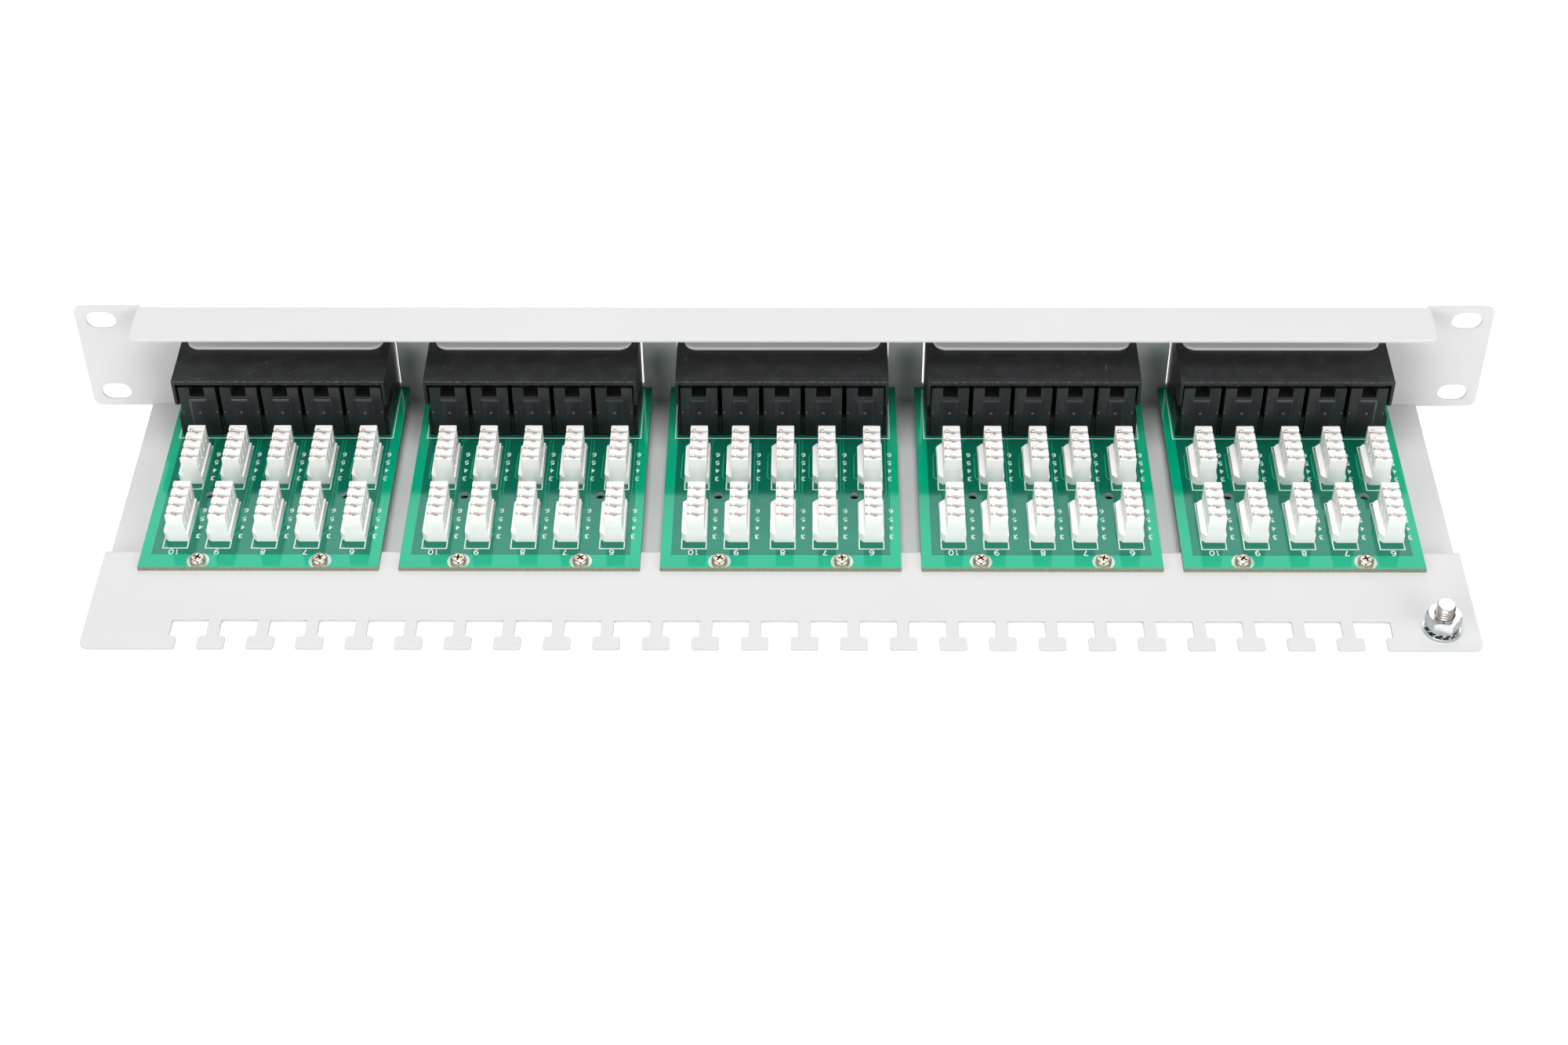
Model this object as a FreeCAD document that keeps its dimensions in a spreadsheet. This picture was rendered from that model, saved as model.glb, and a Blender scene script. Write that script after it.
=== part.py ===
import FreeCAD, Part
import math
import os
import Sketcher

# Patch panel for a 19-inch rack: a folded sheet that carries five jack modules and an earthing point.
# Frame in mm: X to the right seen from the front, Y to the rear, Z up.
# The origin is the centre of the ears' slot pattern, on the rear face of the front plate.

doc = FreeCAD.newDocument("patch_panel")
sheet = doc.addObject("Spreadsheet::Sheet", "Dim")

sizes = {
    # Folded sheet
    "plate_width": "482.6",
    "plate_height": "43.8",
    "sheet_gauge": "1.25",
    "bend_inside": "0.8",
    "body_width": "441",
    "ear_corner": "3",
    "slot_span": "465.1",
    "slot_rise": "31.75",
    "slot_length": "10",
    "slot_width": "7",
    "lip_width": "438",
    "lip_depth": "17.4",
    "lip_corner": "2.5",
    "riser_place": "80.1",
    "strip_rise": "5.65",
    "strip_end": "125",
    "strip_corner": "3",
    "window_side_gap": "0.6",
    "tab_width": "66.6",
    "tab_depth": "10",
    "tab_corner": "2.5",
    # Comb along the rear strip
    "comb_gaps": "25",
    "comb_pitch": "15.58",
    "comb_stem": "4",
    "comb_head": "8.8",
    "comb_head_depth": "5.4",
    "comb_gap_depth": "12.6",
    # Earthing point
    "earth_side_inset": "12",
    "earth_rear_inset": "9.1",
    "thread_size": "6",
    "thread_gap": "0.05",
    "stud_height": "11.1",
    "stud_tip_chamfer": "0.9",
    "stud_head_size": "8.4",
    "stud_head_height": "1.2",
    "flat_washer_size": "12.2",
    "flat_washer_height": "1",
    "washer_bore": "6.4",
    "tooth_washer_size": "11",
    "tooth_washer_height": "0.9",
    "tooth_count": "10",
    "tooth_depth": "1.3",
    "tooth_notch_lead": "1.5",
    "tooth_notch_trail": "0.75",
    "nut_flats": "10",
    "nut_height": "5",
    # Modules
    "module_count": "5",
    "module_pitch": "84.5",
    "column_count": "5",
    "column_pitch": "13.97",
    # Circuit board
    "board_width": "78",
    "board_front": "0.3",
    "board_rear": "90.4",
    "board_gauge": "1.6",
    "tool_hole": "3.1",
    "tool_hole_right": "21",
    "tool_hole_left": "-24.2",
    "tool_hole_y": "55.9",
    # Jack housing
    "housing_width": "71.4",
    "housing_height": "24.6",
    "housing_foot": "1",
    "housing_foot_width": "69.8",
    "housing_proud": "0.8",
    "block_depth": "13.5",
    "hood_depth": "26.7",
    "hood_roof": "1.4",
    "hood_wall": "1",
    "hood_drop": "11.9",
    "rib_width": "1.2",
    "rib_height": "7.8",
    "rib_depth": "25.4",
    "socket_width": "11.8",
    "socket_height": "6.8",
    "latch_width": "6.2",
    "latch_height": "2.2",
    "latch_depth": "10.5",
    "socket_web": "3.8",
    "socket_floor": "3.6",
    # Jack inserts
    "insert_width": "12.5",
    "insert_height": "21.1",
    "insert_depth": "25.7",
    "notch_width": "4.9",
    "notch_height": "4",
    "notch_depth": "6",
    # Terminal blocks
    "block_length": "17.2",
    "block_height": "11.2",
    "block_width": "5.8",
    "base_height": "3.2",
    "base_left": "1.8",
    "base_right": "0.6",
    "base_chamfer": "1.5",
    "upper_row_y": "33.2",
    "lower_row_y": "61.1",
    "first_block": "27.7",
    "narrow_step": "13.85",
    "wide_step": "15.05",
    "cut_count": "4",
    "cut_first": "3",
    "cut_pitch": "4.14",
    "cut_width": "1.3",
    "cut_depth": "5",
}
for row, (alias, number) in enumerate(sizes.items(), start=1):
    sheet.set(f"A{row}", alias)
    sheet.set(f"B{row}", number)
    sheet.setAlias(f"B{row}", alias)
doc.recompute()

# Levels and places that several pieces share, worked out from the sheet.
TOP = "(Dim.plate_height / 2)"
FLOOR = "(-Dim.plate_height / 2)"
TRAY_TOP = f"({FLOOR} + Dim.sheet_gauge)"
STRIP_TOP = f"({TRAY_TOP} + Dim.strip_rise)"
STRIP_UNDER = f"({STRIP_TOP} - Dim.sheet_gauge)"
BOARD_TOP = f"({STRIP_TOP} + Dim.board_gauge)"
HOUSING_LOW = f"({BOARD_TOP} + Dim.housing_foot)"
HOUSING_TOP = f"({BOARD_TOP} + Dim.housing_height)"
EARTH_X = "(Dim.earth_side_inset - Dim.body_width / 2)"
EARTH_Y = "(Dim.strip_end - Dim.earth_rear_inset)"
STUD_BORE = "(Dim.thread_size + 2 * Dim.thread_gap)"
BEND_OUTSIDE = "(Dim.bend_inside + Dim.sheet_gauge)"
WINDOW_HALF = "(Dim.housing_width / 2 + Dim.window_side_gap)"
WINDOW_TOP = f"({HOUSING_TOP} + Dim.sheet_gauge + Dim.bend_inside)"
LOWER_SOCKET = f"({BOARD_TOP} + Dim.socket_floor)"
LOWER_ROOF = f"({LOWER_SOCKET} + Dim.socket_height)"
UPPER_SOCKET = f"({LOWER_ROOF} + Dim.socket_web)"
UPPER_ROOF = f"({UPPER_SOCKET} + Dim.socket_height)"


def value(text):
    return float(sheet.evalExpression(text.replace("Dim.", "")))


def whole(alias):
    return int(round(value(alias)))


def module_x(module):
    return f"({module} - (Dim.module_count - 1) / 2) * Dim.module_pitch"


def column_x(column):
    return f"({column} - (Dim.column_count - 1) / 2) * Dim.column_pitch"


def new_body(label, x="0", y="0", z="0"):
    body = doc.addObject("PartDesign::Body", label)
    body.Label = label
    for axis, text in zip("xyz", (x, y, z)):
        body.setExpression(f"Placement.Base.{axis}", text)
    return body


def origin_part(body, role):
    return next(item for item in body.Origin.OriginFeatures if item.Role == role)


def new_sketch(body, name, plane, offset):
    sketch = body.newObject("Sketcher::SketchObject", name)
    sketch.AttachmentSupport = (origin_part(body, plane), [""])
    sketch.MapMode = "FlatFace"
    sketch.setExpression("AttachmentOffset.Base.z", offset)
    return sketch


def bind(sketch, constraint, text):
    index = sketch.addConstraint(constraint)
    sketch.setExpression(f"Constraints[{index}]", text)


# One closed outline. A corner is (u, v), or (u, v, radius) where it is rounded between an upright
# and a level side. Sharp corners are tied to the sheet by their place, rounded ones by their sides.
def add_outline(sketch, corners):
    count = len(corners)
    spots = [FreeCAD.Vector(value(corner[0]), value(corner[1]), 0) for corner in corners]
    rounds = [value(corner[2]) if len(corner) > 2 else 0 for corner in corners]
    sides = []
    for here in range(count):
        after = (here + 1) % count
        along = (spots[after] - spots[here]).normalize()
        start = spots[here] + along * rounds[here]
        end = spots[after] - along * rounds[after]
        sides.append(sketch.addGeometry(Part.LineSegment(start, end)))
    for here in range(count):
        before = sides[here - 1]
        side = sides[here]
        after = (here + 1) % count
        if rounds[here]:
            inward = (spots[here - 1] - spots[here]).normalize()
            onward = (spots[after] - spots[here]).normalize()
            centre = spots[here] + (inward + onward) * rounds[here]
            ends = [centre - onward * rounds[here], centre - inward * rounds[here]]
            left_turn = onward.cross(inward).z > 0
            angles = [math.atan2(end.y - centre.y, end.x - centre.x) for end in ends]
            circle = Part.Circle(centre, FreeCAD.Vector(0, 0, 1), rounds[here])
            arc = sketch.addGeometry(Part.ArcOfCircle(circle, *(angles if left_turn else angles[::-1])))
            arc_start, arc_end = (1, 2) if left_turn else (2, 1)
            sketch.addConstraint(Sketcher.Constraint("Tangent", before, 2, arc, arc_start))
            sketch.addConstraint(Sketcher.Constraint("Tangent", arc, arc_end, side, 1))
            bind(sketch, Sketcher.Constraint("Radius", arc, rounds[here]), corners[here][2])
        else:
            sketch.addConstraint(Sketcher.Constraint("Coincident", before, 2, side, 1))
            for axis, text in zip("XY", corners[here]):
                place = Sketcher.Constraint(f"Distance{axis}", -1, 1, side, 1, value(text))
                bind(sketch, place, text)
        if rounds[here] or rounds[after]:
            upright = abs(spots[after].x - spots[here].x) < abs(spots[after].y - spots[here].y)
            sketch.addConstraint(Sketcher.Constraint("Vertical" if upright else "Horizontal", side))
            if rounds[here] and rounds[after]:
                text = corners[here][0 if upright else 1]
                kind = "DistanceX" if upright else "DistanceY"
                bind(sketch, Sketcher.Constraint(kind, -1, 1, side, 1, value(text)), text)


def outlines(body, name, plane, offset, loops):
    sketch = new_sketch(body, name, plane, offset)
    for corners in loops:
        add_outline(sketch, corners)
    return sketch


def rectangle(left, low, right, high):
    return [(left, low), (right, low), (right, high), (left, high)]


def circles(body, name, plane, offset, discs):
    sketch = new_sketch(body, name, plane, offset)
    for u, v, size in discs:
        centre = FreeCAD.Vector(value(u), value(v), 0)
        ring = sketch.addGeometry(Part.Circle(centre, FreeCAD.Vector(0, 0, 1), value(size) / 2))
        for axis, text in zip("XY", (u, v)):
            bind(sketch, Sketcher.Constraint(f"Distance{axis}", -1, 1, ring, 3, value(text)), text)
        bind(sketch, Sketcher.Constraint("Diameter", ring, value(size)), size)
    return sketch


def extrude(body, kind, sketch, length, reverse=False):
    feature = body.newObject(f"PartDesign::{kind}", f"{sketch.Name}_{kind.lower()}")
    feature.Profile = sketch
    feature.setExpression("Length", length)
    feature.Reversed = reverse
    return feature


def row_pattern(body, features, pitch, count):
    pattern = body.newObject("PartDesign::LinearPattern", f"{features[-1].Name}_row")
    pattern.Originals = features
    pattern.Direction = (origin_part(body, "X_Axis"), [""])
    pattern.Mode = "Spacing"
    pattern.setExpression("Offset", pitch)
    pattern.setExpression("Occurrences", count)
    body.Tip = pattern
    return pattern


def ease_edges(body, kind, name, size, chosen):
    doc.recompute()
    base = body.Tip
    edges = [f"Edge{i}" for i, edge in enumerate(base.Shape.Edges, start=1) if chosen(edge)]
    feature = body.newObject(f"PartDesign::{kind}", name)
    feature.Base = (base, edges)
    feature.setExpression("Radius" if kind == "Fillet" else "Size", size)


NEAR = 0.001


def runs_along(edge, axis):
    box = edge.BoundBox
    spans = {"x": box.XLength, "y": box.YLength, "z": box.ZLength}
    return all(span < NEAR for name, span in spans.items() if name != axis)


def is_near(number, text):
    return abs(number - value(text)) < NEAR


# Folded sheet: the section through lip, plate, tray, riser and strip is drawn once and drawn out
# over the body's width. Each bend has its inner radius, and that radius plus the gauge outside.
def make_chassis():
    body = new_body("chassis")
    riser_rear = "(Dim.riser_place + Dim.sheet_gauge)"
    half = "(Dim.body_width / 2)"
    inside = "Dim.bend_inside"
    front = "(-Dim.sheet_gauge)"
    section = [
        ("Dim.lip_depth", TOP),
        (front, TOP, BEND_OUTSIDE),
        (front, FLOOR, BEND_OUTSIDE),
        (riser_rear, FLOOR, BEND_OUTSIDE),
        (riser_rear, STRIP_UNDER, inside),
        ("Dim.strip_end", STRIP_UNDER),
        ("Dim.strip_end", STRIP_TOP),
        ("Dim.riser_place", STRIP_TOP, BEND_OUTSIDE),
        ("Dim.riser_place", TRAY_TOP, inside),
        ("0", TRAY_TOP, inside),
        ("0", f"({TOP} - Dim.sheet_gauge)", inside),
        ("Dim.lip_depth", f"({TOP} - Dim.sheet_gauge)"),
    ]
    sketch = outlines(body, "fold_section", "YZ_Plane", f"-{half}", [section])
    extrude(body, "Pad", sketch, "Dim.body_width")

    # The lip is shorter than the body, so its two ends are cut away.
    lip_half = "(Dim.lip_width / 2)"
    lip_stop = f"(Dim.lip_depth + {BEND_OUTSIDE})"
    ends = [rectangle(f"-{half}", "0", f"-{lip_half}", lip_stop), rectangle(lip_half, "0", half, lip_stop)]
    sketch = outlines(body, "lip_ends", "XY_Plane", TOP, ends)
    extrude(body, "Pocket", sketch, BEND_OUTSIDE)
    ease_edges(body, "Fillet", "lip_corners", "Dim.lip_corner", lambda edge: runs_along(edge, "z")
               and is_near(edge.BoundBox.YMin, "Dim.lip_depth"))
    ease_edges(body, "Fillet", "strip_corners", "Dim.strip_corner", lambda edge: runs_along(edge, "z")
               and is_near(edge.BoundBox.YMin, "Dim.strip_end"))

    # Ears, flat and square to the plate, with rounded outer corners.
    ear_root = f"({half} - {BEND_OUTSIDE})"
    ear_tip = "(Dim.plate_width / 2)"
    corner = "Dim.ear_corner"
    left, right = (
        [(f"{sign}{ear_root}", FLOOR), (f"{sign}{ear_tip}", FLOOR, corner),
         (f"{sign}{ear_tip}", TOP, corner), (f"{sign}{ear_root}", TOP)]
        for sign in ("-", "")
    )
    ears = [left[::-1], right]
    sketch = outlines(body, "ears", "XZ_Plane", "0", ears)
    extrude(body, "Pad", sketch, "Dim.sheet_gauge")

    # Slots in the ears: a level stretch with a round end each side.
    slot_half = "((Dim.slot_length - Dim.slot_width) / 2)"
    stretches = []
    slot_ends = []
    for side in "-", "":
        for level in "-", "":
            x = f"({side}Dim.slot_span / 2)"
            z = f"({level}Dim.slot_rise / 2)"
            low = f"({z} - Dim.slot_width / 2)"
            high = f"({z} + Dim.slot_width / 2)"
            stretches.append(rectangle(f"({x} - {slot_half})", low, f"({x} + {slot_half})", high))
            slot_ends.append((f"({x} - {slot_half})", z, "Dim.slot_width"))
            slot_ends.append((f"({x} + {slot_half})", z, "Dim.slot_width"))
    sketch = outlines(body, "slot_stretches", "XZ_Plane", "Dim.sheet_gauge", stretches)
    extrude(body, "Pocket", sketch, "Dim.sheet_gauge")
    for side in 0, 1:
        sketch = circles(body, f"slot_ends_{side}", "XZ_Plane", "Dim.sheet_gauge", slot_ends[side::2])
        extrude(body, "Pocket", sketch, "Dim.sheet_gauge")

    # Windows, and the tab at the head of each that is folded back over the housing.
    first = module_x(0)
    window = rectangle(f"({first} - {WINDOW_HALF})", HOUSING_LOW, f"({first} + {WINDOW_HALF})", WINDOW_TOP)
    sketch = outlines(body, "window", "XZ_Plane", "Dim.sheet_gauge", [window])
    opening = extrude(body, "Pocket", sketch, "Dim.sheet_gauge")
    row_pattern(body, [opening], "Dim.module_pitch", "Dim.module_count")
    tab_top = f"({HOUSING_TOP} + Dim.sheet_gauge)"
    fold = [
        (front, HOUSING_TOP, BEND_OUTSIDE),
        ("Dim.tab_depth", HOUSING_TOP),
        ("Dim.tab_depth", tab_top),
        ("0", tab_top, inside),
        ("0", f"({WINDOW_TOP} + Dim.sheet_gauge)"),
        (front, f"({WINDOW_TOP} + Dim.sheet_gauge)"),
    ]
    sketch = outlines(body, "tab_fold", "YZ_Plane", f"({first} - Dim.tab_width / 2)", [fold])
    tab = extrude(body, "Pad", sketch, "Dim.tab_width")
    row_pattern(body, [tab], "Dim.module_pitch", "Dim.module_count")
    ease_edges(body, "Chamfer", "tab_corners", "Dim.tab_corner", lambda edge: runs_along(edge, "z")
               and is_near(edge.BoundBox.YMin, "Dim.tab_depth"))

    # Comb: the gap between two T-shaped teeth, repeated along the strip's rear edge.
    centre = "(-(Dim.comb_gaps - 1) / 2 * Dim.comb_pitch)"
    stem_half = "((Dim.comb_pitch - Dim.comb_stem) / 2)"
    neck_half = "((Dim.comb_pitch - Dim.comb_head) / 2)"
    root = "(Dim.strip_end - Dim.comb_gap_depth)"
    neck = "(Dim.strip_end - Dim.comb_head_depth)"
    half_gap = [(stem_half, root), (stem_half, neck), (neck_half, neck), (neck_half, "Dim.strip_end")]
    gap = [(f"({centre} + {reach})", y) for reach, y in half_gap]
    gap += [(f"({centre} - {reach})", y) for reach, y in reversed(half_gap)]
    sketch = outlines(body, "comb_gap", "XY_Plane", STRIP_TOP, [gap])
    cut = extrude(body, "Pocket", sketch, "Dim.sheet_gauge")
    row_pattern(body, [cut], "Dim.comb_pitch", "Dim.comb_gaps")

    stud_hole = (EARTH_X, EARTH_Y, STUD_BORE)
    sketch = circles(body, "stud_hole", "XY_Plane", STRIP_TOP, [stud_hole])
    extrude(body, "Pocket", sketch, "Dim.sheet_gauge")


# Earthing point, piled up from the strip: stud from below, flat washer, toothed washer, nut.
def make_earth_point():
    place = (EARTH_X, EARTH_Y)
    washer_top = f"({STRIP_TOP} + Dim.flat_washer_height)"
    tooth_top = f"({washer_top} + Dim.tooth_washer_height)"

    stud = new_body("earth_stud", *place, STRIP_UNDER)
    head = ("0", "0", "Dim.stud_head_size")
    sketch = circles(stud, "stud_head", "XY_Plane", "-Dim.stud_head_height", [head])
    extrude(stud, "Pad", sketch, "Dim.stud_head_height")
    sketch = circles(stud, "stud_shank", "XY_Plane", "0", [("0", "0", "Dim.thread_size")])
    tip = "Dim.sheet_gauge + Dim.stud_height"
    extrude(stud, "Pad", sketch, tip)
    ease_edges(stud, "Chamfer", "stud_tip", "Dim.stud_tip_chamfer",
               lambda edge: is_near(edge.BoundBox.ZMin, tip))

    flat = new_body("earth_flat_washer", *place, STRIP_TOP)
    rings = [("0", "0", "Dim.flat_washer_size"), ("0", "0", "Dim.washer_bore")]
    sketch = circles(flat, "flat_ring", "XY_Plane", "0", rings)
    extrude(flat, "Pad", sketch, "Dim.flat_washer_height")

    toothed = new_body("earth_tooth_washer", *place, washer_top)
    rings = [("0", "0", "Dim.tooth_washer_size"), ("0", "0", "Dim.washer_bore")]
    sketch = circles(toothed, "tooth_ring", "XY_Plane", "0", rings)
    extrude(toothed, "Pad", sketch, "Dim.tooth_washer_height")
    rim = "(Dim.tooth_washer_size / 2)"
    notch = [
        (f"({rim} - Dim.tooth_depth)", "0"),
        (f"({rim} + Dim.tooth_depth)", "-Dim.tooth_notch_lead"),
        (f"({rim} + Dim.tooth_depth)", "Dim.tooth_notch_trail"),
    ]
    sketch = outlines(toothed, "tooth_notch", "XY_Plane", "Dim.tooth_washer_height", [notch])
    cut = extrude(toothed, "Pocket", sketch, "Dim.tooth_washer_height")
    teeth = toothed.newObject("PartDesign::PolarPattern", "tooth_notches")
    teeth.Originals = [cut]
    teeth.Axis = (origin_part(toothed, "Z_Axis"), [""])
    teeth.Angle = 360
    teeth.setExpression("Occurrences", "Dim.tooth_count")
    toothed.Tip = teeth

    nut = new_body("earth_nut", *place, tooth_top)
    corner = "(Dim.nut_flats / sqrt(3))"
    half_corner = "(Dim.nut_flats / sqrt(12))"
    half_flats = "(Dim.nut_flats / 2)"
    hexagon = [
        (corner, "0"),
        (half_corner, half_flats),
        (f"-{half_corner}", half_flats),
        (f"-{corner}", "0"),
        (f"-{half_corner}", f"-{half_flats}"),
        (half_corner, f"-{half_flats}"),
    ]
    sketch = outlines(nut, "nut_hexagon", "XY_Plane", "0", [hexagon])
    extrude(nut, "Pad", sketch, "Dim.nut_height")
    sketch = circles(nut, "nut_bore", "XY_Plane", "Dim.nut_height", [("0", "0", STUD_BORE)])
    extrude(nut, "Pocket", sketch, "Dim.nut_height")


def make_board(module):
    body = new_body(f"circuit_board_{module + 1}", module_x(module))
    half = "(Dim.board_width / 2)"
    board = rectangle(f"-{half}", "Dim.board_front", half, "Dim.board_rear")
    sketch = outlines(body, f"board_{module}", "XY_Plane", STRIP_TOP, [board])
    extrude(body, "Pad", sketch, "Dim.board_gauge")
    holes = [
        ("Dim.tool_hole_left", "Dim.tool_hole_y", "Dim.tool_hole"),
        ("Dim.tool_hole_right", "Dim.tool_hole_y", "Dim.tool_hole"),
    ]
    sketch = circles(body, f"board_holes_{module}", "XY_Plane", BOARD_TOP, holes)
    extrude(body, "Pocket", sketch, "Dim.board_gauge")


# Housing: the block with its sockets, a foot on the board, a hood with a tongue down each side
# over the inserts, and low ribs between the columns.
def make_housing(module):
    body = new_body(f"jack_housing_{module + 1}", module_x(module))
    half = "(Dim.housing_width / 2)"
    nose = "(Dim.sheet_gauge + Dim.housing_proud)"
    block = rectangle(f"-{half}", HOUSING_LOW, half, HOUSING_TOP)
    sketch = outlines(body, f"block_{module}", "XZ_Plane", nose, [block])
    extrude(body, "Pad", sketch, f"{nose} + Dim.block_depth", reverse=True)
    foot_half = "(Dim.housing_foot_width / 2)"
    foot = rectangle(f"-{foot_half}", "Dim.board_front", foot_half, "Dim.block_depth")
    sketch = outlines(body, f"foot_{module}", "XY_Plane", BOARD_TOP, [foot])
    extrude(body, "Pad", sketch, "Dim.housing_foot")

    inner = f"({half} - Dim.hood_wall)"
    tongue_end = f"({HOUSING_TOP} - Dim.hood_drop)"
    roof_under = f"({HOUSING_TOP} - Dim.hood_roof)"
    hood = [
        (f"-{half}", tongue_end),
        (f"-{inner}", tongue_end),
        (f"-{inner}", roof_under),
        (inner, roof_under),
        (inner, tongue_end),
        (half, tongue_end),
        (half, HOUSING_TOP),
        (f"-{half}", HOUSING_TOP),
    ]
    sketch = outlines(body, f"hood_{module}", "XZ_Plane", "-Dim.block_depth", [hood])
    extrude(body, "Pad", sketch, "Dim.hood_depth - Dim.block_depth", reverse=True)

    rib_x = f"({column_x(0)} - Dim.column_pitch / 2)"
    rib = rectangle(f"({rib_x} - Dim.rib_width / 2)", BOARD_TOP,
                    f"({rib_x} + Dim.rib_width / 2)", f"({BOARD_TOP} + Dim.rib_height)")
    sketch = outlines(body, f"rib_{module}", "XZ_Plane", "-Dim.block_depth", [rib])
    ribs = extrude(body, "Pad", sketch, "Dim.rib_depth - Dim.block_depth", reverse=True)
    row_pattern(body, [ribs], "Dim.column_pitch", "Dim.column_count + 1")

    # Sockets, latch ways outwards: the plug's opening runs through, the way for its latch stops short.
    x = column_x(0)
    sides = (f"({x} - Dim.socket_width / 2)", f"({x} + Dim.socket_width / 2)")
    latch_sides = (f"({x} - Dim.latch_width / 2)", f"({x} + Dim.latch_width / 2)")
    pair = [
        rectangle(sides[0], UPPER_SOCKET, sides[1], UPPER_ROOF),
        rectangle(sides[0], LOWER_SOCKET, sides[1], LOWER_ROOF),
    ]
    latch_ways = [
        rectangle(latch_sides[0], UPPER_ROOF, latch_sides[1], f"({UPPER_ROOF} + Dim.latch_height)"),
        rectangle(latch_sides[0], f"({LOWER_SOCKET} - Dim.latch_height)", latch_sides[1], LOWER_SOCKET),
    ]
    sketch = outlines(body, f"sockets_{module}", "XZ_Plane", nose, pair)
    sockets = extrude(body, "Pocket", sketch, f"{nose} + Dim.block_depth")
    sketch = outlines(body, f"latch_ways_{module}", "XZ_Plane", nose, latch_ways)
    ways = extrude(body, "Pocket", sketch, "Dim.latch_depth")
    row_pattern(body, [sockets, ways], "Dim.column_pitch", "Dim.column_count")


def make_inserts(module):
    body = new_body(f"jack_inserts_{module + 1}", module_x(module))
    x = column_x(0)
    top = f"({BOARD_TOP} + Dim.insert_height)"
    half = "(Dim.insert_width / 2)"
    notch_half = "(Dim.notch_width / 2)"
    insert = rectangle(f"({x} - {half})", BOARD_TOP, f"({x} + {half})", top)
    sketch = outlines(body, f"insert_{module}", "XZ_Plane", "-Dim.insert_depth", [insert])
    solid = extrude(body, "Pad", sketch, "Dim.insert_depth - Dim.block_depth")
    notch_floor = f"({top} - Dim.notch_height)"
    notch = rectangle(f"({x} - {notch_half})", notch_floor, f"({x} + {notch_half})", top)
    sketch = outlines(body, f"notch_{module}", "XZ_Plane", "-Dim.insert_depth", [notch])
    cut = extrude(body, "Pocket", sketch, "Dim.notch_depth", reverse=True)
    row_pattern(body, [solid, cut], "Dim.column_pitch", "Dim.column_count")


# Places of the blocks along a row, by narrow and wide steps in turn.
def block_places():
    places = []
    for number in range(whole("column_count")):
        narrow = (number + 1) // 2
        wide = number // 2
        places.append(f"(Dim.first_block - {narrow} * Dim.narrow_step - {wide} * Dim.wide_step)")
    return places


# Terminal blocks of one row: a chamfered base, a narrower body on it, and cuts across for the wires.
def make_blocks(module, row, front):
    body = new_body(f"idc_blocks_{row}_{module + 1}", module_x(module))
    rear = f"({front} + Dim.block_length)"
    bases = []
    towers = []
    for x in block_places():
        right = f"({x} - Dim.block_width / 2)"
        left = f"({x} + Dim.block_width / 2)"
        low = f"({right} - Dim.base_right)"
        wide = f"({left} + Dim.base_left)"
        bases.append([
            (low, front),
            (f"({wide} - Dim.base_chamfer)", front),
            (wide, f"({front} + Dim.base_chamfer)"),
            (wide, f"({rear} - Dim.base_chamfer)"),
            (f"({wide} - Dim.base_chamfer)", rear),
            (low, rear),
        ])
        towers.append(rectangle(right, front, left, rear))
    sketch = outlines(body, f"bases_{row}_{module}", "XY_Plane", BOARD_TOP, bases)
    extrude(body, "Pad", sketch, "Dim.base_height")
    sketch = outlines(body, f"towers_{row}_{module}", "XY_Plane", BOARD_TOP, towers)
    extrude(body, "Pad", sketch, "Dim.block_height")
    block_top = f"({BOARD_TOP} + Dim.block_height)"
    cuts = []
    for number in range(whole("cut_count")):
        y = f"({front} + Dim.cut_first + {number} * Dim.cut_pitch)"
        cuts.append(rectangle("-Dim.board_width / 2", f"({y} - Dim.cut_width / 2)",
                              "Dim.board_width / 2", f"({y} + Dim.cut_width / 2)"))
    sketch = outlines(body, f"cuts_{row}_{module}", "XY_Plane", block_top, cuts)
    extrude(body, "Pocket", sketch, "Dim.cut_depth")


make_chassis()
make_earth_point()
for module in range(whole("module_count")):
    make_board(module)
    make_housing(module)
    make_inserts(module)
    make_blocks(module, "upper", "Dim.upper_row_y")
    make_blocks(module, "lower", "Dim.lower_row_y")
doc.recompute()

failed = [item.Name for item in doc.Objects if {"Invalid", "Error"} & set(item.State)]
if failed:
    raise RuntimeError(f"failed objects: {failed}")
bodies = [item for item in doc.Objects if item.TypeId == "PartDesign::Body"]
for body in bodies:
    if body.Shape.isNull() or not body.Shape.isValid():
        raise RuntimeError(f"{body.Label} has no valid shape")

os.makedirs("parts", exist_ok=True)
for body in bodies:
    body.Shape.exportStep(f"parts/{body.Label}.step")
    print(f"{body.Label}: {len(body.Shape.Solids)} solids, {body.Shape.Volume:.1f} mm3")
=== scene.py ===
import math

import bpy
from mathutils import Matrix, Vector


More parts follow.
